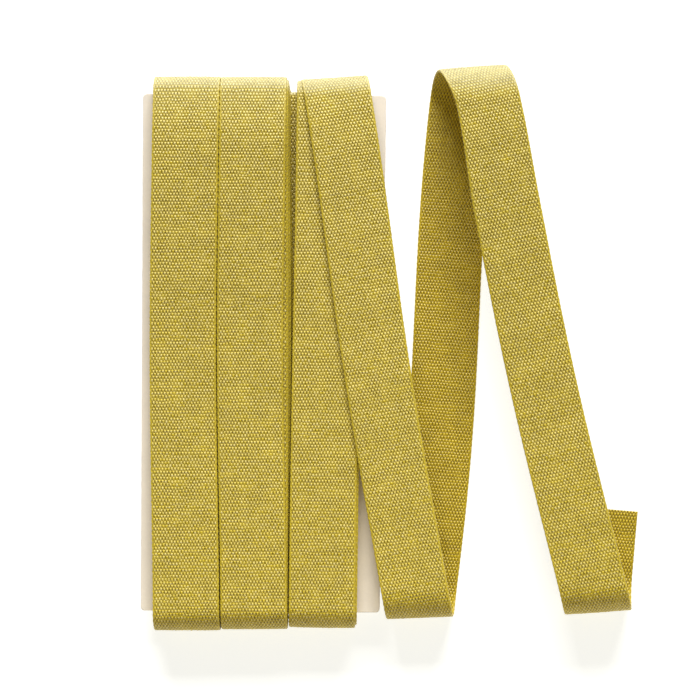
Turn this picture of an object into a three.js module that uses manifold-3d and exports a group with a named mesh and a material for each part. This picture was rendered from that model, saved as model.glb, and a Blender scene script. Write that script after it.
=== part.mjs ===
// A length of woven cotton ribbon wound on a flat card in three columns, side by side, with its
// last turns spread out loose beside the card. Millimetres, +Z up. It lies on its back, so z = 0
// is the surface under it, and the origin is the middle of its base.
import * as THREE from "three";
import { mergeVertices } from "three/addons/utils/BufferGeometryUtils.js";
import Module from "manifold-3d";

const wasm = await Module();
wasm.setup();

// Driving dimensions. Places in plan are measured from the middle of the card, with the card's
// length along Y.
const ribbonWidth = 15;
const sheetThickness = 1; // the loose ribbon's solid, thicker than the weave
const clearance = 0.3; // between pieces that lie on each other

const card = { topWidth: 55.5, bottomWidth: 54.5, length: 118, thickness: 1.5, corner: 0.9, turn: -0.5 };
const roll = { height: 9.6, baseLayer: 0.6, baseLeft: -24.8, baseRight: 21.2 };
const middle = roll.height / 2; // the height of the card's middle, where the layers turn back

// The three columns of turns, from left to right. left and right are the places of their sides at
// the top end, halfway down and at the bottom end. The third column lies between two layers of the
// loose end, so it is lower. droop is how far its right-hand margin falls away from the top face.
const columns = [
  {
    left: [-24.6, -25.25, -24.3],
    right: [-9.8, -10.4, -9.6],
    top: 63.1, bottom: -63.4, low: 0, high: 9.6, droop: 0.3,
  },
  {
    left: [-9.4, -10.0, -9.2],
    right: [6.15, 6.6, 5.8],
    top: 63.0, bottom: -63.1, low: 0, high: 9.6, droop: 1.1,
  },
  {
    left: [8.3, 7.05, 6.15],
    right: [22.95, 21.95, 21.0],
    top: 61.3, bottom: -62.7, low: 1.3, high: 8.8, droop: 0.3,
  },
];
const margin = 1.6; // the width of the drooping margin
const edgeEase = 0.25; // the small bevel on the other edges of a column
const endBluntness = 0.03; // how much of its height a column keeps at the tip of its round ends
const endSteps = 9;
const lengthSteps = 12;

// The loose end, limb by limb, as a continuing coil: the back limb under the third column, one on
// the front, one on the table, one on the front and a short tail on the table. run is the straight
// length between two bends, lean the angle to the card's length in degrees, start and end the
// height of the sheet's middle, bow and sway how far it strays sideways halfway and at its quarters.
const looseStart = { x: 13.7, y: -54 };
const limbs = [
  { name: "back", run: 112.2, lean: -1.05, start: 0.5, end: 0.5, bow: 0, sway: 0 },
  { name: "first", run: 113.1, lean: 9.0, start: 9.6, end: 9.6, bow: -0.8, sway: 0.3 },
  { name: "second", run: 110.3, lean: -4.9, start: 0.5, end: 0.7, bow: 0.2, sway: 0.75 },
  { name: "third", run: 112.0, lean: 12.7, start: 14.4, end: 11.4, bow: -1.1, sway: 0.25 },
  { name: "tail", run: 16, lean: -4.9, start: 0.5, end: 0.5, bow: 0, sway: 0 },
];
// How far each bend is from a true half circle: 0 is one, and 1 curves most at its middle.
const bendEase = [0, 0.6, 0.2, 0.33];
const limbSteps = 10;
const bendSteps = 14;
const slicesPerStep = 24; // in working out a bend's outline

const colours = { ribbon: 0xc1a84b, card: 0xe9dcc4 };
const up = new THREE.Vector3(0, 0, 1);

// A closed solid through a row of loops, each a list with the same number of points.
function loft(loops) {
  const sides = loops[0].length;
  const positions = loops.flat().flatMap((point) => point.toArray());
  const faces = [];
  for (let k = 0; k < loops.length - 1; k++) {
    for (let j = 0; j < sides; j++) {
      const next = (j + 1) % sides;
      const [a, b] = [k * sides + j, k * sides + next];
      const [c, d] = [a + sides, b + sides];
      faces.push(a, b, d, a, d, c);
    }
  }
  const last = (loops.length - 1) * sides;
  for (let j = 1; j < sides - 1; j++) {
    faces.push(0, j + 1, j);
    faces.push(last, last + j, last + j + 1);
  }
  const geometry = new THREE.BufferGeometry();
  geometry.setAttribute("position", new THREE.Float32BufferAttribute(positions, 3));
  geometry.setIndex(faces);
  return geometry;
}

function toSolid(geometry) {
  const bare = new THREE.BufferGeometry();
  bare.setAttribute("position", geometry.getAttribute("position"));
  if (geometry.index) bare.setIndex(geometry.index);
  const merged = mergeVertices(bare, 1e-4);
  const vertProperties = new Float32Array(merged.attributes.position.array);
  const triVerts = new Uint32Array(merged.index.array);
  return new wasm.Manifold(new wasm.Mesh({ numProp: 3, vertProperties, triVerts }));
}

function toGeometry(solid) {
  const mesh = solid.getMesh();
  const geometry = new THREE.BufferGeometry();
  geometry.setAttribute("position", new THREE.Float32BufferAttribute(mesh.vertProperties, 3));
  geometry.setIndex(Array.from(mesh.triVerts));
  geometry.computeVertexNormals();
  return geometry;
}

// The card, or the room that it takes when grow is more than 0.
function board(grow) {
  const half = card.length / 2 + grow;
  const top = card.topWidth / 2 + grow;
  const bottom = card.bottomWidth / 2 + grow;
  const r = card.corner;
  const outline = new THREE.Shape();
  outline.moveTo(-bottom + r, -half);
  outline.lineTo(bottom - r, -half);
  outline.quadraticCurveTo(bottom, -half, bottom, -half + r);
  outline.lineTo(top, half - r);
  outline.quadraticCurveTo(top, half, top - r, half);
  outline.lineTo(-top + r, half);
  outline.quadraticCurveTo(-top, half, -top, half - r);
  outline.lineTo(-bottom, -half + r);
  outline.quadraticCurveTo(-bottom, -half, -bottom + r, -half);
  const depth = card.thickness + 2 * grow;
  const geometry = new THREE.ExtrudeGeometry(outline, { depth, bevelEnabled: false, curveSegments: 4 });
  geometry.translate(0, 0, middle - depth / 2);
  geometry.rotateZ(THREE.MathUtils.degToRad(card.turn));
  return geometry;
}

// A value that bows along the card, from its figures at the top end, halfway and the bottom end.
function bowed([top, halfway, bottom], y) {
  const t = y / (card.length / 2);
  return halfway + ((top - bottom) / 2) * t + ((top + bottom) / 2 - halfway) * t * t;
}

// One column of turns: a flat block with round ends, its sides bowed and its edges eased.
function column(spec) {
  const radius = (spec.high - spec.low) / 2;
  const level = (spec.high + spec.low) / 2;
  const stations = [];
  for (let k = 0; k <= endSteps; k++) {
    const angle = (Math.PI / 2) * (1 - k / endSteps);
    stations.push([spec.bottom + radius - radius * Math.sin(angle), Math.cos(angle)]);
  }
  const straight = [spec.bottom + radius, spec.top - radius];
  for (let k = 1; k < lengthSteps; k++) {
    stations.push([THREE.MathUtils.lerp(...straight, k / lengthSteps), 1]);
  }
  for (let k = 0; k <= endSteps; k++) {
    const angle = (Math.PI / 2) * (k / endSteps);
    stations.push([spec.top - radius + radius * Math.sin(angle), Math.cos(angle)]);
  }
  const loops = stations.map(([y, fullness]) => {
    const share = Math.max(fullness, endBluntness);
    const half = radius * share;
    const bevel = edgeEase * share;
    const left = bowed(spec.left, y);
    const right = bowed(spec.right, y);
    const section = [
      [left, -half + bevel],
      [left + bevel, -half],
      [right - bevel, -half],
      [right, -half + bevel],
      [right, half - spec.droop * share],
      [right - margin * share, half],
      [left + bevel, half],
      [left, half - bevel],
    ];
    return section.map(([x, z]) => new THREE.Vector3(x, y, level + z)).reverse();
  });
  return loft(loops);
}

// The first layer on the card, which ties the columns together and shows between them.
function baseLayer() {
  const radius = card.thickness / 2 + clearance + roll.baseLayer;
  const reach = card.length / 2 + clearance + roll.baseLayer;
  const profile = new THREE.Shape();
  profile.absarc(reach - radius / 2, 0, radius, -Math.PI / 2, Math.PI / 2, false);
  profile.absarc(-reach + radius / 2, 0, radius, Math.PI / 2, (3 * Math.PI) / 2, false);
  const depth = roll.baseRight - roll.baseLeft;
  const geometry = new THREE.ExtrudeGeometry(profile, { depth, bevelEnabled: false, curveSegments: 10 });
  const turn = new THREE.Matrix4().makeBasis(
    new THREE.Vector3(0, 1, 0),
    new THREE.Vector3(0, 0, 1),
    new THREE.Vector3(1, 0, 0),
  );
  return geometry.applyMatrix4(turn).translate(roll.baseLeft, 0, middle);
}

function woundRoll() {
  let solid = toSolid(baseLayer());
  for (const spec of columns) solid = solid.add(toSolid(column(spec)));
  return toGeometry(solid.subtract(toSolid(board(clearance))));
}

// A half turn of length 1 seen from its side: how far ahead and how high it is, and its angle.
function halfTurn(ease, steps) {
  const angleAt = (t) => Math.PI * t - (ease * Math.sin(2 * Math.PI * t)) / 2;
  const stations = [{ ahead: 0, high: 0, angle: 0 }];
  let ahead = 0;
  let high = 0;
  const slices = steps * slicesPerStep;
  for (let k = 1; k <= slices; k++) {
    const angle = angleAt((k - 0.5) / slices);
    ahead += Math.cos(angle) / slices;
    high += Math.sin(angle) / slices;
    if (k % slicesPerStep === 0) stations.push({ ahead, high, angle: angleAt(k / slices) });
  }
  return stations;
}

// Where a limb points: along the ribbon and across it. Every other limb rises towards +Y.
function directions(lean, rising) {
  const angle = THREE.MathUtils.degToRad(lean);
  const along = new THREE.Vector3(Math.sin(angle), -Math.cos(angle), 0);
  if (rising) along.negate();
  const across = new THREE.Vector3(Math.cos(angle), Math.sin(angle), 0);
  return { along, across };
}

// How far a limb strays sideways at a place along it. The stray fades out halfway round its bends.
function stray(limb, place) {
  const t = THREE.MathUtils.clamp((place + limb.before) / (limb.before + limb.run + limb.after), 0, 1);
  return limb.bow * Math.sin(Math.PI * t) ** 2 + limb.sway * Math.sin(2 * Math.PI * t);
}

// The rows of a limb. A row is a straight line across the flat ribbon, as a function that gives its
// point at a distance from the centre line and at a distance out of the middle of the sheet.
function limbRows(limb, origin, { along, across }, rising, skews) {
  const rows = [];
  for (let k = 0; k <= limbSteps; k++) {
    const station = (limb.run * k) / limbSteps;
    const skew = THREE.MathUtils.lerp(...skews, k / limbSteps);
    rows.push((offset, out) => {
      const place = station + skew * offset;
      const height = THREE.MathUtils.lerp(limb.start, limb.end, place / limb.run);
      return origin
        .clone()
        .addScaledVector(along, place)
        .addScaledVector(across, offset + stray(limb, place))
        .addScaledVector(up, height + (rising ? -out : out));
    });
  }
  return rows;
}

// The rows between two limbs, where the sheet turns back over an axis along fold.
function bendRows({ limb, next, turn, origin, ahead, fold, along, across, length, rise }) {
  const side = Math.sign(rise);
  const whole = length / along.dot(ahead);
  return turn.slice(1, -1).map((station, k) => {
    const share = (k + 1) / (turn.length - 1);
    return (offset, out) => {
      const place = (share * length - offset * across.dot(ahead)) / along.dot(ahead);
      const aside = share < 0.5 ? stray(limb, limb.run + place) : stray(next, place - whole);
      const slide = place * along.dot(fold) + offset * across.dot(fold);
      return origin
        .clone()
        .addScaledVector(ahead, station.ahead * length + out * Math.sin(station.angle))
        .addScaledVector(fold, slide + aside)
        .addScaledVector(up, side * (station.high * length - out * Math.cos(station.angle)));
    };
  });
}

// Every row of the loose end. A bend turns about an axis halfway between its two limbs, so the
// sheet stays as flat as cut ribbon does: it only bends, and never stretches.
function looseRows() {
  const turns = bendEase.map((ease) => halfTurn(ease, bendSteps));
  const rises = turns.map((turn, k) => limbs[k + 1].start - limbs[k].end);
  const lengths = turns.map((turn, k) => Math.abs(rises[k]) / turn.at(-1).high);
  const spans = limbs.map((limb, k) => {
    const [before, after] = [lengths[k - 1] ?? 0, lengths[k] ?? 0];
    return { ...limb, before: before / 2, after: after / 2 };
  });
  const rows = [];
  let origin = new THREE.Vector3(looseStart.x, looseStart.y, 0);
  let startSkew = 0;
  spans.forEach((limb, k) => {
    const rising = k % 2 === 0;
    const sense = directions(limb.lean, rising);
    const next = spans[k + 1];
    if (!next) {
      rows.push(...limbRows(limb, origin, sense, rising, [startSkew, 0]));
      return;
    }
    const { along: ahead, across: fold } = directions((limb.lean + next.lean) / 2, rising);
    const skew = fold.dot(sense.along) / fold.dot(sense.across);
    rows.push(...limbRows(limb, origin, sense, rising, [startSkew, skew]));
    const [turn, rise, length] = [turns[k], rises[k], lengths[k]];
    const bendOrigin = origin.clone().addScaledVector(sense.along, limb.run).setZ(limb.end);
    rows.push(...bendRows({ limb, next, turn, origin: bendOrigin, ahead, fold, ...sense, length, rise }));
    const slide = (length * sense.along.dot(fold)) / sense.along.dot(ahead);
    origin = bendOrigin.clone().addScaledVector(fold, slide).setZ(0);
    const after = directions(next.lean, !rising);
    startSkew = fold.dot(after.along) / fold.dot(after.across);
  });
  return rows;
}

function looseEnd() {
  const w = ribbonWidth / 2;
  const t = sheetThickness / 2;
  const corners = [[-w, -t], [w, -t], [w, t], [-w, t]];
  return loft(looseRows().map((row) => corners.map(([offset, out]) => row(offset, out))));
}

function piece(name, geometry, colour, roughness) {
  const material = new THREE.MeshStandardMaterial({ color: colour, roughness, metalness: 0 });
  const mesh = new THREE.Mesh(geometry, material);
  mesh.name = name;
  return mesh;
}

const laid = new THREE.Group();
laid.add(piece("winding_card", board(0), colours.card, 0.85));
laid.add(piece("wound_roll", woundRoll(), colours.ribbon, 0.9));
laid.add(piece("loose_end", looseEnd(), colours.ribbon, 0.9));

const extent = new THREE.Box3().setFromObject(laid);
const centre = extent.getCenter(new THREE.Vector3());
laid.position.set(-centre.x, -centre.y, -extent.min.z);

const ribbonRoll = new THREE.Group();
ribbonRoll.add(laid);
export default ribbonRoll;
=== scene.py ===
"""A roll of mustard-yellow cotton ribbon on a cream winding card, its last turns spread out loose.

The ribbon is worked out flat, in two lengths: how far along it a point is and how far across. A
table of limbs and bends then carries it to where it lies, so it folds and hardly stretches: only
slight bows, the cloth's unevenness and a shoulder at the high loop do that. Its weave is plain and
warp-faced: each warp end passes over one pick of weft and under the next.
"""
import math

import bmesh
import bpy
import numpy as np
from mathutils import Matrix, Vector


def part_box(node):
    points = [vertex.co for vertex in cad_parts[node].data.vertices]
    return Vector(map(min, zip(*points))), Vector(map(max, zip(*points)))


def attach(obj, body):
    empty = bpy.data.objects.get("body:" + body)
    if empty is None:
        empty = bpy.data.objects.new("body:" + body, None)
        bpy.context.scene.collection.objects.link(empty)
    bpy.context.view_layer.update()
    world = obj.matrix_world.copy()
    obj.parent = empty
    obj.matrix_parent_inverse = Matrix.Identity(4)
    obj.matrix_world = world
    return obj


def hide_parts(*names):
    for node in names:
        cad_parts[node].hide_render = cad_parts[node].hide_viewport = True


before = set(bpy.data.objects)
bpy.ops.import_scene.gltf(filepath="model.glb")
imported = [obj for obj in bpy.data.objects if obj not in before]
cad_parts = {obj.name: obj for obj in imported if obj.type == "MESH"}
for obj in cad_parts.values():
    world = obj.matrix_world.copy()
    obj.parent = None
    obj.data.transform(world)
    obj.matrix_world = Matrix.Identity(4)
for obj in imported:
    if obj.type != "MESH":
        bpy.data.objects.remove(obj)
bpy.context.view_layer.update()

bl_info = {
    "name": "Ribbon roll",
    "version": (1, 0, 0),
    "blender": (4, 5, 0),
    "location": "View3D > Sidebar > Ribbon roll",
    "description": "Builds a roll of woven cotton ribbon on its winding card",
    "category": "Add Mesh",
}

MM = 0.001
ROLL_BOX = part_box("wound_roll")
# Places in plan are measured from the middle of the card, in millimetres. The roll's left side and
# its bottom end are where the frame has them.
ROLL_LEFT = -25.25
ROLL_BOTTOM = -63.4
# The width of ribbon that the tables of limbs are for, in millimetres.
FULL_WIDTH = 15.0
HALF_WIDTH = 0.5 * FULL_WIDTH
# In the map of the flat ribbon the inner side lies this far beside the outer one, in millimetres.
INNER_SIDE = 40.0
SHIFT = np.array([ROLL_BOX[0].x - ROLL_LEFT * MM, ROLL_BOX[0].y - ROLL_BOTTOM * MM, 0.0])


# Settings

def length(name, description, default):
    """A length that a user may change, in metres."""
    return bpy.props.FloatProperty(
        name=name, description=description, default=default, min=0.0, unit="LENGTH", subtype="DISTANCE"
    )


def colour(name, description, default):
    return bpy.props.FloatVectorProperty(
        name=name, description=description, default=default, size=3, min=0.0, max=1.0, subtype="COLOR"
    )


def amount(name, description, default, top=1.0):
    return bpy.props.FloatProperty(
        name=name, description=description, default=default, min=0.0, max=top, subtype="FACTOR"
    )


class RibbonSettings(bpy.types.PropertyGroup):
    """The woven ribbon, flat and as it is wound."""

    width: length("Width", "Width of the ribbon from selvedge to selvedge", FULL_WIDTH * MM)
    thickness: length("Thickness", "Thickness of the woven ribbon", 0.52 * MM)
    pick_pitch: length("Pick pitch", "Distance from one weft pick to the next", 0.715 * MM)
    warp_ends: bpy.props.IntProperty(
        name="Warp ends", description="Warp threads across the ribbon", default=42, min=8,
        subtype="UNSIGNED",
    )
    relief: length("Relief", "How far a warp end stands up where it passes over a pick", 0.06 * MM)
    layers: bpy.props.IntProperty(
        name="Layers", description="Turns of ribbon in each column", default=6, min=4,
        subtype="UNSIGNED",
    )
    crown_colour: colour("Crowns", "Warp thread where it lies on top", (0.72, 0.55, 0.016))
    # Painted highlight: this pale colour on the tips of the crowns stands in for the light they catch.
    crown_highlight_colour: colour("Tips", "The palest fibres on top of each crown", (0.88, 0.81, 0.45))
    # Painted highlight: this pale colour is painted on the folds at the top end that face the light.
    fold_highlight_colour: colour("Fuzz", "Fine fibres on the folds at the top end", (0.60, 0.56, 0.34))
    # Painted shade: this dark colour is painted in the hollows of the weave for the shade in them.
    hollow_shade_colour: colour("Hollows", "Thread in the hollows of the weave", (0.18, 0.118, 0.003))
    selvedge_colour: colour("Selvedge", "The smoother cord along each edge", (0.62, 0.475, 0.025))
    # Painted shade: the inner side is painted darker and less white than the outer side.
    inner_tint: colour("Inner side", "How much duller the inner side is", (0.91, 0.87, 0.42))


class CardSettings(bpy.types.PropertyGroup):
    """The flat card that the ribbon is wound on."""

    top_width: length("Top width", "Width of the card at its top end", 55.5 * MM)
    bottom_width: length("Bottom width", "Width of the card at its bottom end", 54.5 * MM)
    height: length("Length", "Length of the card", 118.0 * MM)
    thickness: length("Thickness", "Thickness of the board", 1.5 * MM)
    turn: bpy.props.FloatProperty(
        name="Turn", description="How far the card is turned", default=math.radians(-0.5),
        subtype="ANGLE", unit="ROTATION",
    )
    paper_colour: colour("Paper", "Uncoated cream board", (0.830, 0.765, 0.685))
    edge_colour: colour("Edge", "The cut edge of the board", (0.68, 0.58, 0.47))


class StageSettings(bpy.types.PropertyGroup):
    """Floor, light and camera."""

    camera_height: length("Camera height", "Height of the camera over the table", 400.0 * MM)
    lens: bpy.props.FloatProperty(
        name="Lens", description="Focal length of the camera", default=88.9, min=20.0, unit="CAMERA"
    )
    sky: amount("Sky", "Strength of the even light from all round", 0.16, 4.0)
    sky_colour: colour("Sky colour", "Colour of the even light", (1.0, 0.93, 0.80))
    key: bpy.props.FloatProperty(
        name="Key light", description="Power of the broad soft light beyond the top end", default=97.0,
        min=0.0, unit="POWER",
    )
    fill: bpy.props.FloatProperty(
        name="Fill light", description="Power of the weak light before the bottom end", default=0.8,
        min=0.0, unit="POWER",
    )
    fill_colour: colour("Fill colour", "Colour of the weak light", (1.0, 0.90, 0.62))
    floor_colour: colour("Floor", "The pale table", (0.65, 0.65, 0.65))
    floor_glow: amount("Floor glow", "How much light comes through the table", 0.66)


# Shader maths

class Wire:
    """A value in a material. Python's operators on it add the nodes that work them out."""

    def __init__(self, shader, socket):
        self.shader = shader
        self.socket = socket

    def __add__(self, other):
        return self.shader.maths("ADD", self, other)

    __radd__ = __add__

    def __sub__(self, other):
        return self.shader.maths("SUBTRACT", self, other)

    def __rsub__(self, other):
        return self.shader.maths("SUBTRACT", other, self)

    def __mul__(self, other):
        return self.shader.maths("MULTIPLY", self, other)

    __rmul__ = __mul__

    def __truediv__(self, other):
        return self.shader.maths("DIVIDE", self, other)

    def __abs__(self):
        return self.shader.maths("ABSOLUTE", self)


class Shader:
    """A new material, its surface, and the one way that its nodes are made."""

    def __init__(self, name, **constants):
        self.material = bpy.data.materials.new(name)
        self.material.use_nodes = True
        self.tree = self.material.node_tree
        self.surface = self.tree.nodes["Principled BSDF"]
        for socket, value in constants.items():
            self.surface.inputs[socket.replace("_", " ")].default_value = value

    def node(self, kind, settings=None, output=0, **inputs):
        """One node of any kind. Inputs are named in_0, in_1 by place, or by their own names."""
        made = self.tree.nodes.new(kind)
        for key, value in (settings or {}).items():
            setattr(made, key, value)
        for key, value in inputs.items():
            socket = made.inputs[int(key[3:]) if key.startswith("in_") else key.replace("_", " ")]
            if isinstance(value, Wire):
                self.tree.links.new(value.socket, socket)
            else:
                socket.default_value = value
        return Wire(self, made.outputs[output])

    def maths(self, operation, *values):
        inputs = {f"in_{k}": value for k, value in enumerate(values)}
        return self.node("ShaderNodeMath", {"operation": operation}, **inputs)

    def mix(self, factor, first, second, way="MIX"):
        """Two colours mixed, the second more as the factor goes to 1."""
        first, second = (c if isinstance(c, Wire) else (*c, 1.0) for c in (first, second))
        settings = {"data_type": "RGBA", "blend_type": way}
        return self.node("ShaderNodeMix", settings, output=2, in_0=factor, in_6=first, in_7=second)

    def between(self, value, low, high):
        """0 below low, 1 above high and a smooth ramp in between."""
        settings = {"interpolation_type": "SMOOTHSTEP"}
        return self.node("ShaderNodeMapRange", settings, in_0=value, in_1=low, in_2=high)

    def vector(self, x, y, z=0.0):
        return self.node("ShaderNodeCombineXYZ", in_0=x, in_1=y, in_2=z)

    def noise(self, vector, scale, detail=2.0, roughness=0.5):
        return self.node(
            "ShaderNodeTexNoise", Vector=vector, Scale=scale, Detail=detail, Roughness=roughness
        )

    def axis(self, vector, number):
        """One of a vector's three numbers."""
        return self.node("ShaderNodeSeparateXYZ", output=number, in_0=vector)

    def normal(self):
        """The direction that the surface faces."""
        return self.node("ShaderNodeNewGeometry", output=1)

    def bump(self, height, strength, distance):
        return self.node("ShaderNodeBump", Height=height, Strength=strength, Distance=distance)

    def dome(self, across, along, wide, long):
        """1 at the middle of a dome and falling away from it, in shares of its own size."""
        return 1.0 - self.maths("POWER", across / wide, 2.0) - self.maths("POWER", along / long, 2.0)

    def grey(self, value):
        return self.node("ShaderNodeCombineColor", in_0=value, in_1=value, in_2=value)

    def feed(self, **links):
        for socket, wire in links.items():
            self.tree.links.new(wire.socket, self.surface.inputs[socket.replace("_", " ")])


# The unevenness of the cloth: waves to the millimetre along and across it, and how fine they get.
CLOTH_NOISE = {
    "streaks": (0.035, 1.45, 1.0),
    "bars": (1.3, 0.11, 2.0),
    "clouds": (0.11, 0.2, 3.0),
    "slubs": (1.5, 1.5, 2.0),
    "gaps": (0.42, 0.33, 2.0),
    "fibres": (4.0, 22.0, 2.0),
    "wander": (0.45, 0.30, 1.0),
}
# The tone without them, and how much each adds.
BASE_TONE = 0.40
TONE_SHARES = {"streaks": 0.16, "bars": 0.34, "clouds": 0.20, "slubs": 0.28}
# Half sizes of a warp end's dome and of the pit between four of them, in ends across and picks along.
DOME = (1.36, 0.58)
PIT = (0.68, 0.34)
# How far from the ribbon's edge the selvedge begins and where it is full, in millimetres.
SELVEDGE = (0.55, 0.30)
# Painted highlights: how much paler the folds at the top end are painted where they face the light,
# how much paler the tips of the crowns are painted, and how much less on the inner side.
FOLD_HIGHLIGHT = 0.52
CROWN_HIGHLIGHT = 0.66
CROWN_HIGHLIGHT_LESS_INSIDE = 0.45
# Where each mask starts and where it is full: crowns and the painted highlights on their tips
# by the dome's height, the tips' painted highlights in patches by the slubs, open pits by the gaps,
# and the painted highlight on the folds by how far the cloth faces the top end, towards the light.
CROWN_RANGE = (-0.08, 0.46)
CROWN_HIGHLIGHT_RANGE = (0.50, 0.98)
HIGHLIGHT_PATCH_RANGE = (0.30, 0.72)
OPEN_RANGE = (0.26, 0.60)
FOLD_HIGHLIGHT_RANGE = (0.02, 0.60)
# The bump's height in shares of a dome: how deep pits are, how much flatter the selvedge is, and
# how far fibres stand out. A dome's own height follows, in metres.
PIT_DEPTH = 0.7
SELVEDGE_FLATTER = 0.6
FIBRE_HEIGHT = 0.12
DOME_HEIGHT = 0.16 * MM


def ribbon_material(ribbon):
    """Mustard cotton in a warp-faced plain weave, read from the flat ribbon's own coordinates."""
    shader = Shader("mustard_cotton", Specular_IOR_Level=0.5, Sheen_Weight=0.1, Sheen_Roughness=0.45)
    shader.surface.inputs["Sheen Tint"].default_value = (1.0, 0.93, 0.72, 1.0)
    flat = shader.node("ShaderNodeUVMap", {"uv_map": "flat"})
    along = shader.axis(flat, 0)
    mapped = shader.axis(flat, 1)
    inner = shader.maths("GREATER_THAN", mapped, 0.5 * INNER_SIDE)
    across = mapped - INNER_SIDE * inner
    pick = ribbon.pick_pitch / MM
    end = ribbon.width / MM / ribbon.warp_ends
    half = ribbon.width / MM / 2

    cloth = {
        name: shader.noise(shader.vector(along * waves_along, across * waves_across), 1.0, detail)
        for name, (waves_along, waves_across, detail) in CLOTH_NOISE.items()
    }

    row = shader.maths("PINGPONG", (along + 0.5 * cloth["wander"]) / pick, 1.0)
    thread = shader.maths("PINGPONG", across / end + 0.5 * (ribbon.warp_ends - 1), 1.0)
    here = shader.dome(thread, row, *DOME)
    beside = shader.dome(1.0 - thread, 1.0 - row, *DOME)
    dome = shader.node("ShaderNodeMath", {"operation": "SMOOTH_MAX"}, in_0=here, in_1=beside, in_2=0.12)
    pit = shader.maths(
        "MAXIMUM", shader.dome(1.0 - thread, row, *PIT), shader.dome(thread, 1.0 - row, *PIT)
    )
    pit = shader.maths("POWER", shader.maths("MAXIMUM", pit, 0.0), 0.6)
    pit = pit * (0.5 + 0.5 * shader.between(cloth["gaps"], *OPEN_RANGE))
    # Painted shade: the hollows and pits between the crowns take the dark hollow colour.
    crown = shader.between(dome, *CROWN_RANGE) * (1.0 - pit)
    edge = shader.between(abs(across), half - SELVEDGE[0], half - SELVEDGE[1])
    # Painted highlight: the folds at the top end are painted paler where they face the light.
    facing = shader.axis(shader.normal(), 1)
    fold_highlight = FOLD_HIGHLIGHT * shader.between(facing, *FOLD_HIGHLIGHT_RANGE) * (1.0 - inner)

    tone = BASE_TONE
    for name, share in TONE_SHARES.items():
        tone = tone + share * cloth[name]
    woven = shader.mix(crown, tuple(ribbon.hollow_shade_colour), tuple(ribbon.crown_colour))
    highlight_patches = shader.between(cloth["slubs"], *HIGHLIGHT_PATCH_RANGE)
    # Painted highlight: the tips of the crowns are painted paler, less so on the inner side.
    crown_highlight = shader.between(dome, *CROWN_HIGHLIGHT_RANGE) * highlight_patches * (CROWN_HIGHLIGHT - CROWN_HIGHLIGHT_LESS_INSIDE * inner)
    woven = shader.mix(crown_highlight, woven, tuple(ribbon.crown_highlight_colour))
    body = shader.mix(edge * 0.7, woven, tuple(ribbon.selvedge_colour))
    # Painted highlight on the folds at the top end that face the light.
    body = shader.mix(fold_highlight, body, tuple(ribbon.fold_highlight_colour))
    # Painted shade: the inner side is darkened and made less white.
    tint = shader.mix(inner, (1.0, 1.0, 1.0), tuple(ribbon.inner_tint))
    shaded = shader.mix(1.0, shader.mix(1.0, body, tint, "MULTIPLY"), shader.grey(tone), "MULTIPLY")

    height = (dome - PIT_DEPTH * pit) * (1 - SELVEDGE_FLATTER * edge)
    height = height + cloth["fibres"] * FIBRE_HEIGHT
    shader.feed(
        Base_Color=shaded,
        Roughness=0.50 - 0.10 * crown,
        Normal=shader.bump(height, 1.0, DOME_HEIGHT),
    )
    return shader.material


# The board's mottling and fibres, in waves to the metre.
MOTTLE_WAVES = 90.0
FIBRE_WAVES = 1400.0


def card_material(card):
    """Uncoated board: fine fibres, faint mottling and a darker cut edge."""
    shader = Shader("cream_board", Roughness=0.9)
    place = shader.node("ShaderNodeTexCoord", output=3)
    face = shader.between(abs(shader.axis(shader.normal(), 2)), 0.4, 0.8)
    mottle = shader.noise(place, MOTTLE_WAVES, 3.0)
    fibre = shader.noise(place, FIBRE_WAVES, 4.0, 0.65)
    tone = 0.86 + 0.18 * mottle + 0.10 * fibre
    paper = shader.mix(face, tuple(card.edge_colour), tuple(card.paper_colour))
    shader.feed(
        Base_Color=shader.mix(1.0, paper, shader.grey(tone), "MULTIPLY"),
        Roughness=0.88 + 0.1 * (fibre - 0.5),
        Normal=shader.bump(fibre + 0.6 * mottle, 0.35, 0.05 * MM),
    )
    return shader.material


# The flat ribbon and where it lies

def smooth(t):
    t = np.clip(t, 0.0, 1.0)
    return t * t * (3.0 - 2.0 * t)


class Limb:
    """A straight stretch of ribbon between two bends, in millimetres and degrees.

    It may bow or sway sideways, sag between its ends, and swell: leave the bend before it, or meet
    the bend after it, at a slope. Its edges may droop. A shoulder moves it aside just past the bend
    before it: first the whole width, then what its left edge moves more than its right one.
    """

    SHOULDER_IN_BEND = 10.0
    SHOULDER_ON_LIMB = 26.0
    SWELL_IN_BEND = 6.0
    SWELL_ON_LIMB = 16.0
    SWELL_POWER = 2.5

    def __init__(
        self, run, lean, start, end=None, bow=0.0, sway=0.0, sag=0.0, swell=(0.0, 0.0), cup=0.05,
        shoulder=(0.0, 0.0),
    ):
        self.run = run
        self.lean = lean
        self.start = start
        self.end = start if end is None else end
        self.bow = bow
        self.sway = sway
        self.sag = sag
        self.swell = swell
        self.cup = cup
        self.shoulder = shoulder

    @classmethod
    def swelling(cls, place):
        """How far a surface has risen that meets its bend at a slope of 1, past (or before) the bend."""
        rising = np.clip(place + cls.SWELL_IN_BEND, 0.0, cls.SWELL_IN_BEND) ** 2 / (2.0 * cls.SWELL_IN_BEND)
        left = 1.0 - np.clip(place / cls.SWELL_ON_LIMB, 0.0, 1.0)
        return rising + cls.SWELL_ON_LIMB / cls.SWELL_POWER * (1.0 - left ** cls.SWELL_POWER)

    def profile(self, place):
        """How far the limb's surface stands out from its straight line, at a place along it."""
        full = self.swelling(self.SWELL_ON_LIMB)
        t = np.clip(place / max(self.run, 1.0), 0.0, 1.0)
        before, after = self.swell
        height = full * (before + (after - before) * smooth(t)) - self.sag * np.sin(math.pi * t) ** 2
        height = height - before * (full - self.swelling(place))
        return height - after * (full - self.swelling(self.run - place))


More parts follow.
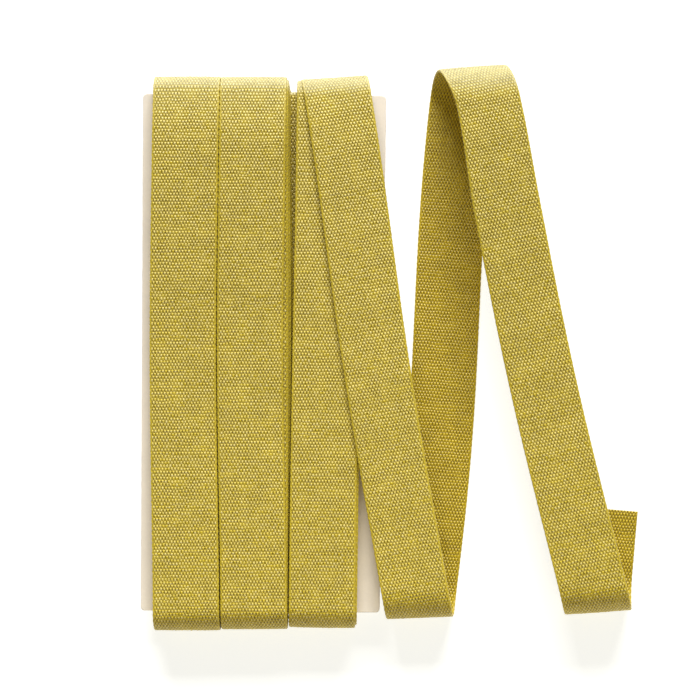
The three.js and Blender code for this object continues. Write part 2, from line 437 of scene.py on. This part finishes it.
class Course:
    """Carries the flat ribbon to where it lies: straight limbs, with a half turn between each two.

    A half turn goes about an axis halfway between its limbs' leans, so the ribbon only bends.
    """

    CURVE = np.linspace(0.0, 1.0, 401)

    def __init__(self, limbs, bend_ease, start, rising):
        self.parts = []
        place = np.array(start, float)
        station = 0.0
        turns = [self.half_turn(ease) for ease in bend_ease]
        rises = [b.start - a.end for a, b in zip(limbs, limbs[1:])]
        lengths = [abs(rise) / turn[1][-1] for rise, turn in zip(rises, turns)]
        halves = [0.0] + [0.5 * x for x in lengths] + [0.0]
        for k, limb in enumerate(limbs):
            along, across = self.directions(limb.lean, rising)
            part = {
                "limb": limb, "origin": place.copy(), "station": station, "out": -1.0 if rising else 1.0,
                "along": along, "across": across, "before": halves[k], "after": halves[k + 1],
            }
            self.parts.append(part)
            station += limb.run
            part["end"] = station
            if k == len(limbs) - 1:
                break
            ahead, fold = self.directions(0.5 * (limb.lean + limbs[k + 1].lean), rising)
            bend_origin = place + along * limb.run
            part["bend"] = {
                "origin": bend_origin, "ahead": ahead, "fold": fold, "length": lengths[k],
                "turn": turns[k], "side": math.copysign(1.0, rises[k]),
                "whole": lengths[k] / (along @ ahead),
            }
            place = bend_origin + fold * (lengths[k] * (along @ fold) / (along @ ahead))
            station += part["bend"]["whole"]
            rising = not rising
        self.length = station

    @staticmethod
    def directions(lean, rising):
        angle = math.radians(lean)
        along = np.array([math.sin(angle), -math.cos(angle)])
        return (-along if rising else along), np.array([math.cos(angle), math.sin(angle)])

    @classmethod
    def half_turn(cls, ease):
        """A half turn of length 1 from its side: how far ahead, how high and at what angle."""
        t = cls.CURVE
        angle = math.pi * t - 0.5 * ease * np.sin(2.0 * math.pi * t)
        middle = 0.5 * (t[1:] + t[:-1])
        slope = math.pi * middle - 0.5 * ease * np.sin(2.0 * math.pi * middle)
        ahead = np.concatenate([[0.0], np.cumsum(np.cos(slope)) / (len(t) - 1)])
        high = np.concatenate([[0.0], np.cumsum(np.sin(slope)) / (len(t) - 1)])
        return ahead, high, angle

    @staticmethod
    def stray(part, place, u):
        """How far a place lies to one side of its limb's straight line."""
        limb = part["limb"]
        t = (place + part["before"]) / (part["before"] + limb.run + part["after"])
        t = np.clip(t, 0.0, 1.0)
        whole, left = limb.shoulder
        rise = smooth(1.0 + place / Limb.SHOULDER_IN_BEND) * (1.0 - smooth(place / Limb.SHOULDER_ON_LIMB))
        shoulder = rise * (whole + left * (0.5 - u / FULL_WIDTH))
        return limb.bow * np.sin(math.pi * t) ** 2 + limb.sway * np.sin(2.0 * math.pi * t) + shoulder

    def on_limb(self, part, s, u, out):
        limb = part["limb"]
        place = s - part["station"]
        plan = part["origin"] + place[:, None] * part["along"]
        plan = plan + (u + self.stray(part, place, u))[:, None] * part["across"]
        t = place / limb.run if limb.run > 0.0 else np.zeros_like(place)
        stands = limb.profile(place) - limb.cup * (u / HALF_WIDTH) ** 2
        height = limb.start + (limb.end - limb.start) * t + part["out"] * (out + stands)
        return np.column_stack([plan, height])

    def on_bend(self, part, following, s, u, out):
        bend = part["bend"]
        along, across, ahead, fold = part["along"], part["across"], bend["ahead"], bend["fold"]
        place = s - part["end"]
        travel = place * (along @ ahead) + u * (across @ ahead)
        share = np.clip(travel / bend["length"], 0.0, 1.0)
        forward, high, angle = (np.interp(share, self.CURVE, table) for table in bend["turn"])
        first = self.stray(part, part["limb"].run + place, u)
        second = self.stray(following, place - bend["whole"], u)
        aside = place * (along @ fold) + u * (across @ fold) + np.where(share < 0.5, first, second)
        cup = (part["limb"].cup * (1.0 - share) + following["limb"].cup * share) * (u / HALF_WIDTH) ** 2
        out = out - cup
        out = out + part["limb"].swell[1] * Limb.swelling(-place)
        out = out + following["limb"].swell[0] * Limb.swelling(place - bend["whole"])
        reach = forward * bend["length"] + out * np.sin(angle)
        plan = bend["origin"] + reach[:, None] * ahead + aside[:, None] * fold
        height = part["limb"].end + bend["side"] * (high * bend["length"] - out * np.cos(angle))
        return np.column_stack([plan, height])

    def lay(self, s, u, out):
        """Points in metres in the shared frame, for flat places along and across, in millimetres."""
        s, u, out = (np.ravel(x).astype(float) for x in np.broadcast_arrays(s, u, out))
        points = np.zeros((len(s), 3))
        waiting = np.ones(len(s), bool)
        for part, following in zip(self.parts, self.parts[1:] + [None]):
            if following is None:
                points[waiting] = self.on_limb(part, s[waiting], u[waiting], out[waiting])
                break
            bend = part["bend"]
            travel = (s - part["end"]) * (part["along"] @ bend["ahead"])
            travel += u * (part["across"] @ bend["ahead"])
            straight = waiting & (travel < 0.0)
            points[straight] = self.on_limb(part, s[straight], u[straight], out[straight])
            turned = waiting & ~straight & (travel <= bend["length"])
            points[turned] = self.on_bend(part, following, s[turned], u[turned], out[turned])
            waiting &= ~(straight | turned)
        # The table flattens what would reach below it.
        points[:, 2] = np.maximum(points[:, 2], 0.0)
        return points * MM + SHIFT


# Lengths of the slow waves in handled cloth, in millimetres.
RIPPLE_WAVES = (9.0, 15.0, 26.0, 41.0)


def ripple(s, u, size, seed):
    """The slow unevenness of handled cloth."""
    rng = np.random.default_rng(seed)
    total = np.zeros(np.broadcast(s, u).shape)
    for wave in RIPPLE_WAVES:
        a, b, c = rng.uniform(0.0, 2.0 * math.pi, 3)
        bent = a + 0.9 * np.sin(u / 5.0 + b)
        total = total + np.sin(2.0 * math.pi * s / wave + bent) * (1.0 + 0.3 * np.cos(u / 3.0 + c))
    return size * total / len(RIPPLE_WAVES)


# The ribbon's edge: its rim lies this far inside half the width and its tip this far outside, in
# millimetres. The rim has this share of the thickness, and the outermost warp ends this share of
# the relief.
RIM_INSET = 0.05
TIP_REACH = 0.03
RIM_SHARE = 0.75
EDGE_RELIEF = 0.4


def ribbon_ring(ribbon, both_sides):
    """The outline of a cut across the ribbon: places across, which side, and share of relief."""
    half = 0.5 * ribbon.width / MM
    pitch = 2.0 * half / ribbon.warp_ends
    ends = (np.arange(ribbon.warp_ends) - 0.5 * (ribbon.warp_ends - 1)) * pitch
    strength = np.ones(ribbon.warp_ends)
    strength[[0, -1]] = EDGE_RELIEF
    rim = half - RIM_INSET
    tip = half + TIP_REACH
    face = [
        (-rim, RIM_SHARE, 0.0), *((u, 1.0, k) for u, k in zip(ends, strength)), (rim, RIM_SHARE, 0.0),
    ]
    if both_sides:
        back = [(u, -1.0, k) for u, k in zip(ends[::-1], strength)]
    else:
        back = [(0.6 * half, -1.0, 0.0), (0.0, -1.0, 0.0), (-0.6 * half, -1.0, 0.0)]
    return np.array([
        (-tip, 0.0, 0.0), *face, (tip, 0.0, 0.0),
        (rim, -RIM_SHARE, 0.0), *back, (-rim, -RIM_SHARE, 0.0),
    ])


def plain_ring(ribbon):
    """A coarser outline for the layers inside a column, where little but the edges shows."""
    half = 0.5 * ribbon.width / MM
    rim = half - RIM_INSET
    tip = half + TIP_REACH
    face = [(-rim, RIM_SHARE), (-0.5 * half, 1.0), (0.0, 1.0), (0.5 * half, 1.0), (rim, RIM_SHARE)]
    back = [(-u, -side) for u, side in face]
    return np.array([(u, side, 0.0) for u, side in [(-tip, 0.0), *face, (tip, 0.0), *back]])


def half_picks(course, ribbon, first, last, closed, every=1):
    """The places along the course where the weave changes, half a pick apart, and their numbers."""
    step = 0.5 * ribbon.pick_pitch / MM
    if closed:
        count = 4 * int(round(course.length / (4.0 * step)))
        numbers = np.arange(0, count, every)
        return numbers * course.length / count, numbers
    numbers = np.arange(int(round(first / step)), int(round(last / step)) + 1, every)
    return numbers * step, numbers


# How the weave strays by chance: as a share of its relief, and in millimetres up and, at the
# selvedge, out.
RELIEF_CHANCE = 0.3
RISE_CHANCE = 0.010
EDGE_CHANCE = 0.012
# How far the selvedge goes in and out with the picks, how wide it is for that, and how uneven a
# column's turns lie, in millimetres.
EDGE_WAVE = 0.03
EDGE_WIDTH = 0.2
COLUMN_UNEVEN = 0.05
# Layers deep inside a column have one ring for this many half picks.
COARSE = 4


def woven_strip(
    name, course, ribbon, ring, first=0.0, last=0.0, closed=False, every=1, seed=1, uneven=None
):
    """A stretch of ribbon with its weave raised, from one place along the course to another."""
    stations, numbers = half_picks(course, ribbon, first, last, closed, every)
    half = 0.5 * ribbon.thickness / MM
    pitch = ribbon.width / MM / ribbon.warp_ends
    s, u = np.meshgrid(stations, ring[:, 0], indexing="ij")
    side, share = (np.broadcast_to(ring[:, k], s.shape) for k in (1, 2))
    # One table of chance for the whole course, so two strips that meet agree where they meet.
    rng = np.random.default_rng(seed)
    chance = rng.standard_normal((numbers[-1] + 1, len(ring)))[numbers].clip(-2.0, 2.0)
    along_wave = np.cos(0.5 * math.pi * numbers)[:, None]
    crossing = along_wave * np.cos(math.pi * (u / pitch + 0.5 * (ribbon.warp_ends - 1)))
    relief = ribbon.relief / MM * crossing * (1.0 + RELIEF_CHANCE * chance)
    raised = share * (relief + RISE_CHANCE * chance)
    at_edge = np.abs(ring[:, 0]) > 0.5 * ribbon.width / MM - EDGE_WIDTH
    scallop = at_edge * np.sign(u) * (EDGE_WAVE * along_wave * np.sign(u) + EDGE_CHANCE * chance)
    slow = ripple(s, u, COLUMN_UNEVEN if uneven is None else uneven(s), seed)
    points = course.lay(s, u + scallop, side * half + raised + slow)
    return strip_mesh(name, points, numbers * 0.5 * ribbon.pick_pitch / MM, ring, closed)


def strip_mesh(name, points, along, ring, closed):
    """Joins rings of points into one strip, and keeps their places in the flat ribbon as its map."""
    across = ring[:, 0]
    rows, columns = len(along), len(across)
    index = np.arange(rows * columns).reshape(rows, columns)
    here = index if closed else index[:-1]
    ahead = np.roll(index, -1, 0) if closed else index[1:]
    quads = np.stack([here, ahead, np.roll(ahead, -1, 1), np.roll(here, -1, 1)], -1).reshape(-1, 4)
    mesh = bpy.data.meshes.new(name)
    mesh.vertices.add(rows * columns)
    mesh.vertices.foreach_set("co", points.astype(np.float32).ravel())
    mesh.loops.add(quads.size)
    mesh.loops.foreach_set("vertex_index", quads.ravel().astype(np.int32))
    mesh.polygons.add(len(quads))
    mesh.polygons.foreach_set("loop_start", np.arange(0, quads.size, 4, dtype=np.int32))
    mesh.update(calc_edges=True)
    mesh.validate()
    ends = np.append(along, along[-1] + along[1] - along[0]) if closed else along
    row = np.repeat(np.arange(len(here)), columns)
    column = np.tile(np.arange(columns), len(here))
    next_column = (column + 1) % columns
    flat_s = np.stack([ends[row], ends[row + 1], ends[row + 1], ends[row]], -1)
    inner = ring[column, 1] + ring[next_column, 1] < -0.5
    flat_u = np.stack([across[column], across[column], across[next_column], across[next_column]], -1)
    flat_u = flat_u + INNER_SIDE * inner[:, None]
    layer = mesh.uv_layers.new(name="flat")
    layer.data.foreach_set("uv", np.stack([flat_s, flat_u], -1).astype(np.float32).ravel())
    mesh.polygons.foreach_set("use_smooth", np.ones(len(quads), bool))
    made = bpy.data.objects.new(name, mesh)
    bpy.context.scene.collection.objects.link(made)
    return made


def close_end(made, columns, at_start):
    """Closes the cut end of a strip with one flat face."""
    count = len(made.data.vertices)
    shape = bmesh.new()
    shape.from_mesh(made.data)
    shape.verts.ensure_lookup_table()
    ring = range(columns) if at_start else range(count - 1, count - columns - 1, -1)
    face = shape.faces.new([shape.verts[k] for k in ring])
    flat = shape.loops.layers.uv["flat"]
    for corner in face.loops:
        corner[flat].uv = corner.vert.link_loops[0][flat].uv
    shape.to_mesh(made.data)
    shape.free()


# The columns and the loose end, as tables of limbs

COLUMNS = {
    "left": {
        "top": (-17.0, 59.38), "bottom": (-17.05, -58.4), "bow": -0.8, "drift": 0.0, "settle": 0.0,
        "base": 0.30,
    },
    "middle": {
        "top": (-1.90, 59.3), "bottom": (-1.74, -58.2), "bow": -0.78, "drift": 0.75, "settle": 1.90,
        "base": 0.85,
    },
}
THIRD = {
    "top": (15.92, 57.6), "bottom": (13.90, -58.2), "aside": 0.18, "bow": -0.2, "sag": 0.35,
    "swell": 0.11, "base": 0.85,
}
# The base layer that shows in the gap beside the third column.
BASE = {"top": (7.6, 58.75), "bottom": (6.9, -58.6), "base": 0.29, "ease": -0.8}
# What an outermost turn has: its sag, and its slopes where the face and the back meet the top bend.
COLUMN_SAG = 1.0
COLUMN_SWELL = (0.26, 0.10)
# How far turns lie aside and bow by chance, and what the innermost turn has: how much nearer to
# the bottom end its two ends lie, and how its bends are eased.
COLUMN_ASIDE = 0.12
COLUMN_BOW = 0.25
TOP_LOWER = 0.4
BOTTOM_LOWER = 0.3
INNER_EASE = -0.4
# Levels of the outermost turns' middle: where the face leaves the top bend and meets the bottom one,
# and the same for the back.
FACE = (8.25, 9.50)
BACK = (1.25, 0.27)
THIRD_FACE = 8.62
THIRD_BACK = 1.42
# The third column's outermost layer is this much lower at its top end, and its innermost layer
# reaches this much further up, in millimetres.
THIRD_SLOPE = 0.75
THIRD_HIGHER = 1.2
CARD_FACE = 5.55
CARD_BACK = 4.05


def closed_turn(top, bottom, face, back, ease=0.0, bow=0.0, sag=0.0, swell=(0.0, 0.0)):
    """One turn of a column: up the back, over the top end, down the face and under the bottom end.

    Face and back are levels at the top and the bottom end, and so are the two slopes of the swell:
    of the face, then of the back, where they meet the top bend.
    """
    run = math.hypot(top[0] - bottom[0], top[1] - bottom[1])
    lean = math.degrees(math.atan2(bottom[0] - top[0], top[1] - bottom[1]))
    limbs = [
        Limb(run, lean, back[1], back[0], bow=0.4 * bow, sag=0.3 * sag, swell=(0.0, swell[1])),
        Limb(run, lean, face[0], face[1], bow=bow, sag=sag, swell=(swell[0], 0.0), cup=0.07),
        Limb(0.0, lean, back[1]),
    ]
    return Course(limbs, [ease, ease], bottom, rising=True)


def between_levels(outer, inner, share):
    return tuple(a + (inner - a) * share for a in outer)


def column_turn(column, k, layers, rng):
    """Turn k of a column, 0 being the outermost. The inner ones lie a little to one side."""
    share = k / (layers - 1)
    sunk = math.sqrt(share)
    aside = rng.uniform(-COLUMN_ASIDE, COLUMN_ASIDE) if k else 0.0
    bow = column["bow"] * (1.0 - column["settle"] * sunk) + (rng.uniform(0.0, COLUMN_BOW) if k else 0.0)
    top = (column["top"][0] + column["drift"] * sunk + aside, column["top"][1] - TOP_LOWER * share)
    bottom = (column["bottom"][0] + aside, column["bottom"][1] - BOTTOM_LOWER * share)
    face = between_levels(FACE, CARD_FACE + column["base"], share)
    back = between_levels(BACK, CARD_BACK - column["base"], share)
    loose = 1.0 - share
    swell = tuple(slope * loose for slope in COLUMN_SWELL)
    return closed_turn(top, bottom, face, back, INNER_EASE * share, bow, COLUMN_SAG * loose, swell)


LOOSE_START = (15.29, 48.61)
LOOSE = [
    Limb(9.5, -1.05, 0.86),
    Limb(116.19, -0.885, 8.35, 9.12, bow=-0.10, sway=0.08, sag=0.35, swell=(0.11, 0.0), cup=0.06),
    Limb(116.25, -1.127, 0.27),
    Limb(113.01, 8.888, 9.15, 10.0, bow=-0.79, sway=0.18, sag=0.35, swell=(0.14, 0.0), cup=-0.12),
    Limb(110.33, -4.841, 0.27, 0.47, bow=0.44, sway=0.78),
    Limb(
        111.66, 12.798, 14.4, 11.44, bow=-0.93, sway=0.27, sag=0.8, swell=(0.06, 0.0), cup=0.08,
        shoulder=(0.42, 0.70),
    ),
    Limb(16.0, -4.9, 0.27),
]
LOOSE_EASE = [0.0, 0.0, 0.0, 0.48, 0.20, 0.33]
LOOSE_SEED = 7
# Where the long ribbon is divided, as shares of a bend before and after its slanted limb.
SPLIT_BEFORE = 0.75
SPLIT_AFTER = 0.8
# How uneven it lies on the column, how much more once it is loose, and where along it that comes
# in, in millimetres.
HELD_UNEVEN = 0.045
LOOSE_UNEVEN = 0.05
LOOSE_FROM = 270.0
LOOSE_WITHIN = 20.0


def loose_course():
    """The third column's last turn and the loose end that follows from it."""
    return Course(LOOSE, LOOSE_EASE, LOOSE_START, rising=True)


# Operators

def settings():
    return bpy.context.scene.ribbon_roll


def finish_piece(piece, material, replaced=()):
    piece.data.materials.clear()
    piece.data.materials.append(material)
    if replaced:
        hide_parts(*replaced)
    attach(piece, "root")
    return piece


def material_named(name, make, group):
    return bpy.data.materials.get(name) or make(group)


def cotton():
    return material_named("mustard_cotton", ribbon_material, settings().ribbon)


# The card's round corners, its worn edges, how far the middle of its edge stands out, the
# roughness of its cut and the steps of its outline.
CARD_CORNER = 0.9 * MM
CARD_BEVEL = 0.12 * MM
CARD_SWELL = 0.03 * MM
CARD_ROUGH = 0.018 * MM
CARD_STEP = 1.2 * MM


def card_outline(card):
    """The card's outline about its own middle, in metres, with small round corners."""
    half = 0.5 * card.height
    top, bottom = 0.5 * card.top_width, 0.5 * card.bottom_width
    outline = []
    for x, y, turn in [(-bottom, -half, 180), (bottom, -half, 270), (top, half, 0), (-top, half, 90)]:
        middle = Vector((x - math.copysign(CARD_CORNER, x), y - math.copysign(CARD_CORNER, y)))
        for k in range(7):
            angle = math.radians(turn + 15 * k)
            outline.append(middle + CARD_CORNER * Vector((math.cos(angle), math.sin(angle))))
    fine = []
    for a, b in zip(outline, outline[1:] + outline[:1]):
        pieces = max(1, int((b - a).length / CARD_STEP))
        fine += [list(a.lerp(b, k / pieces)) for k in range(pieces)]
    return np.array(fine)


class MakeCard(bpy.types.Operator):
    """Cut the winding card"""

    bl_idname = "ribbon_roll.make_card"
    bl_label = "Winding card"

    def execute(self, context):
        card = settings().card
        ring = card_outline(card)
        rough = np.random.default_rng(4).normal(0.0, CARD_ROUGH, ring.shape)
        spin = np.array([
            [math.cos(card.turn), -math.sin(card.turn)],
            [math.sin(card.turn), math.cos(card.turn)],
        ])
        depth = 0.5 * card.thickness
        levels = [
            (-depth, CARD_BEVEL), (-depth + CARD_BEVEL, 0.0), (0.0, -CARD_SWELL),
            (depth - CARD_BEVEL, 0.0), (depth, CARD_BEVEL),
        ]
        middle_z = 0.5 * (CARD_FACE + CARD_BACK) * MM
        count = len(ring)
        vertices, faces = [], []
        for z, inset in levels:
            placed = (ring * (1.0 - inset / np.abs(ring).max(0)) + rough) @ spin.T
            vertices += [(x + SHIFT[0], y + SHIFT[1], z + middle_z) for x, y in placed]
        for row in range(len(levels) - 1):
            for k in range(count):
                a, b = row * count + k, row * count + (k + 1) % count
                faces.append((a, b, b + count, a + count))
        faces.append(tuple(range(count))[::-1])
        faces.append(tuple(range((len(levels) - 1) * count, len(levels) * count)))
        mesh = bpy.data.meshes.new("card_board")
        mesh.from_pydata(vertices, [], faces)
        mesh.update()
        made = bpy.data.objects.new("card_board", mesh)
        context.scene.collection.objects.link(made)
        material = material_named("cream_board", card_material, card)
        finish_piece(made, material, ["winding_card"])
        return {"FINISHED"}


class WindColumns(bpy.types.Operator):
    """Wind the left and middle columns, layer on layer"""

    bl_idname = "ribbon_roll.wind_columns"
    bl_label = "Left and middle columns"

    def execute(self, context):
        ribbon = settings().ribbon
        for number, (name, column) in enumerate(COLUMNS.items()):
            rng = np.random.default_rng(20 + number)
            layers = []
            for k in range(1, ribbon.layers):
                course = column_turn(column, k, ribbon.layers, rng)
                layers.append(
                    woven_strip(
                        f"{name}_layer_{k}", course, ribbon, plain_ring(ribbon), closed=True,
                        every=1 if k < 4 else COARSE, seed=40 + k,
                    )
                )
            stack = join(f"{name}_column_layers", layers)
            finish_piece(stack, cotton())
            course = column_turn(column, 0, ribbon.layers, rng)
            ring = ribbon_ring(ribbon, both_sides=False)
            face = woven_strip(f"{name}_column_turn", course, ribbon, ring, closed=True, seed=3 + number)
            finish_piece(face, cotton(), ["wound_roll"])
        return {"FINISHED"}


def join(name, parts):
    """One mesh of several objects' meshes."""
    with bpy.context.temp_override(active_object=parts[0], selected_editable_objects=parts):
        bpy.ops.object.join()
    parts[0].name = name
    parts[0].data.name = name
    return parts[0]


class WindThird(bpy.types.Operator):
    """Wind the third column, whose last turn goes on as the loose end"""

    bl_idname = "ribbon_roll.wind_third"
    bl_label = "Third column"

    def execute(self, context):
        ribbon = settings().ribbon
        rng = np.random.default_rng(31)
        levels = (CARD_FACE + BASE["base"],) * 2, (CARD_BACK - BASE["base"],) * 2
        base = closed_turn(BASE["top"], BASE["bottom"], *levels, BASE["ease"])
        layers = [woven_strip("base_layer", base, ribbon, plain_ring(ribbon), closed=True, seed=50)]
        count = ribbon.layers - 1
        for k in range(count):
            share = k / (count - 1)
            outer = (THIRD_FACE - THIRD_SLOPE, THIRD_FACE)
            face = between_levels(outer, CARD_FACE + THIRD["base"], share)
            back = between_levels((THIRD_BACK, THIRD_BACK), CARD_BACK - THIRD["base"], share)
            aside = rng.uniform(-THIRD["aside"], THIRD["aside"])
            top = (THIRD["top"][0] + aside, THIRD["top"][1] + THIRD_HIGHER * share)
            bottom = (THIRD["bottom"][0] + aside, THIRD["bottom"][1] - BOTTOM_LOWER * share)
            loose = 1.0 - share
            swell = (THIRD["swell"] * loose, 0.0)
            sag = THIRD["sag"] * loose
            course = closed_turn(top, bottom, face, back, INNER_EASE * share, THIRD["bow"], sag, swell)
            layers.append(
                woven_strip(
                    f"third_layer_{k}", course, ribbon, plain_ring(ribbon), closed=True,
                    every=1 if k < 2 else COARSE, seed=60 + k,
                )
            )
        stack = join("third_column_layers", layers)
        finish_piece(stack, cotton())
        course = loose_course()
        ring = ribbon_ring(ribbon, both_sides=True)
        end = loose_splits(course)[0]
        turn = woven_strip(
            "third_column_turn", course, ribbon, ring, 0.0, end, seed=LOOSE_SEED, uneven=looseness
        )
        close_end(turn, len(ring), at_start=True)
        finish_piece(turn, cotton())
        end * MM
        return {"FINISHED"}


def loose_splits(course):
    """Where the long ribbon is divided into pieces: both places are turned to the table."""
    first = course.parts[3]["station"] - SPLIT_BEFORE * course.parts[2]["bend"]["whole"]
    second = course.parts[3]["end"] + SPLIT_AFTER * course.parts[3]["bend"]["whole"]
    return first, second


def looseness(s):
    """How uneven the ribbon lies: little on the column and more once it is loose."""
    return HELD_UNEVEN + LOOSE_UNEVEN * smooth((s - LOOSE_FROM) / LOOSE_WITHIN)


class LayLooseEnd(bpy.types.Operator):
    """Spread the loose end out beside the card"""

    bl_idname = "ribbon_roll.lay_loose_end"
    bl_label = "Loose end"

    def execute(self, context):
        ribbon = settings().ribbon
        course = loose_course()
        ring = ribbon_ring(ribbon, both_sides=True)
        start, split = loose_splits(course)
        first, second = (
            woven_strip(name, course, ribbon, ring, a, b, seed=LOOSE_SEED, uneven=looseness)
            for name, a, b in (
                ("loose_end_first", start, split),
                ("loose_end_second", split, course.length),
            )
        )
        close_end(second, len(ring), at_start=False)
        finish_piece(first, cotton(), ["loose_end"])
        finish_piece(second, cotton())
        (split - start) * MM
        (course.length - split) * MM
        return {"FINISHED"}


# The middle of the picture, in millimetres on the table. The lamps' places from there and their
# sizes are in metres, and so is half the table's side.
AIM = (20.0, 0.7, 0.0)
KEY_PLACE = (0.04, 2.1, 1.0)
KEY_SIZE = (1.5, 0.8)
FILL_PLACE = (0.06, -0.34, 0.32)
FILL_SIZE = 0.35
TABLE_HALF = 3.0
# The table lies this far below the roll, so the two surfaces don't meet.
TABLE_BELOW = 0.02 * MM
# The colour of the light that comes through the table.
TABLE_LIGHT = (0.95, 0.98, 1.0)
# The width of the camera's sensor, in millimetres.
SENSOR_WIDTH = 36.0


class SetStage(bpy.types.Operator):
    """Set the floor, the light and the camera"""

    bl_idname = "ribbon_roll.set_stage"
    bl_label = "Floor, light and camera"

    def execute(self, context):
        stage = settings().stage
        scene = context.scene
        scene.view_settings.view_transform = "Standard"
        scene.view_settings.look = "None"
        aim = np.array(AIM) * MM + SHIFT

        mesh = bpy.data.meshes.new("table_top")
        signs = ((-1, -1), (1, -1), (1, 1), (-1, 1))
        corners = [(TABLE_HALF * x, TABLE_HALF * y, 0.0) for x, y in signs]
        mesh.from_pydata(corners, [], [(0, 1, 2, 3)])
        floor = bpy.data.objects.new("table_top", mesh)
        floor.location.z = -TABLE_BELOW
        paint = Shader("pale_table", Roughness=0.9)
        paint.surface.inputs["Base Color"].default_value = (*stage.floor_colour, 1.0)
        paint.surface.inputs["Emission Color"].default_value = (*TABLE_LIGHT, 1.0)
        paint.surface.inputs["Emission Strength"].default_value = stage.floor_glow
        mesh.materials.append(paint.material)
        scene.collection.objects.link(floor)

        world = bpy.data.worlds.new("soft_room")
        world.use_nodes = True
        sky = world.node_tree.nodes["Background"]
        sky.inputs["Color"].default_value = (*stage.sky_colour, 1.0)
        sky.inputs["Strength"].default_value = stage.sky
        scene.world = world

        key = bpy.data.lights.new("key", "AREA")
        key.shape = "RECTANGLE"
        key.energy = stage.key
        key.size, key.size_y = KEY_SIZE
        fill = bpy.data.lights.new("fill", "AREA")
        fill.energy = stage.fill
        fill.size = FILL_SIZE
        fill.color = stage.fill_colour
        for lamp, place in ((key, KEY_PLACE), (fill, FILL_PLACE)):
            light = bpy.data.objects.new(lamp.name, lamp)
            light.location = Vector(aim) + Vector(place)
            light.rotation_euler = (Vector(aim) - light.location).to_track_quat("-Z", "Y").to_euler()
            scene.collection.objects.link(light)

        lens = bpy.data.cameras.new("camera")
        lens.lens = stage.lens
        lens.sensor_width = SENSOR_WIDTH
        camera = bpy.data.objects.new("camera", lens)
        camera.location = Vector(aim) + Vector((0.0, 0.0, stage.camera_height))
        scene.collection.objects.link(camera)
        scene.camera = camera
        return {"FINISHED"}


class RibbonRollSettings(bpy.types.PropertyGroup):
    """All the settings of the roll."""

    ribbon: bpy.props.PointerProperty(
        type=RibbonSettings, name="Ribbon", description="The woven ribbon, flat and as it is wound"
    )
    card: bpy.props.PointerProperty(type=CardSettings, name="Card", description="The winding card")
    stage: bpy.props.PointerProperty(
        type=StageSettings, name="Stage", description="Floor, light and camera"
    )


OPERATORS = (MakeCard, WindColumns, WindThird, LayLooseEnd, SetStage)


class RibbonRollPanel(bpy.types.Panel):
    """The roll's pieces and settings"""

    bl_idname = "VIEW3D_PT_ribbon_roll"
    bl_label = "Ribbon roll"
    bl_space_type = "VIEW_3D"
    bl_region_type = "UI"
    bl_category = "Ribbon roll"

    def draw(self, context):
        for operator in OPERATORS:
            self.layout.operator(operator.bl_idname)
        for group in (settings().ribbon, settings().card, settings().stage):
            box = self.layout.box()
            for name in group.__annotations__:
                box.prop(group, name)


CLASSES = (RibbonSettings, CardSettings, StageSettings, RibbonRollSettings, *OPERATORS, RibbonRollPanel)


def register():
    for item in CLASSES:
        bpy.utils.register_class(item)
    bpy.types.Scene.ribbon_roll = bpy.props.PointerProperty(
        type=RibbonRollSettings, name="Ribbon roll", description="All the settings of the roll"
    )


def unregister():
    del bpy.types.Scene.ribbon_roll
    for item in reversed(CLASSES):
        bpy.utils.unregister_class(item)


def main():
    register()
    bpy.ops.ribbon_roll.make_card()
    bpy.ops.ribbon_roll.wind_columns()
    bpy.ops.ribbon_roll.wind_third()
    bpy.ops.ribbon_roll.lay_loose_end()
    bpy.ops.ribbon_roll.set_stage()


if __name__ == "__main__":
    main()
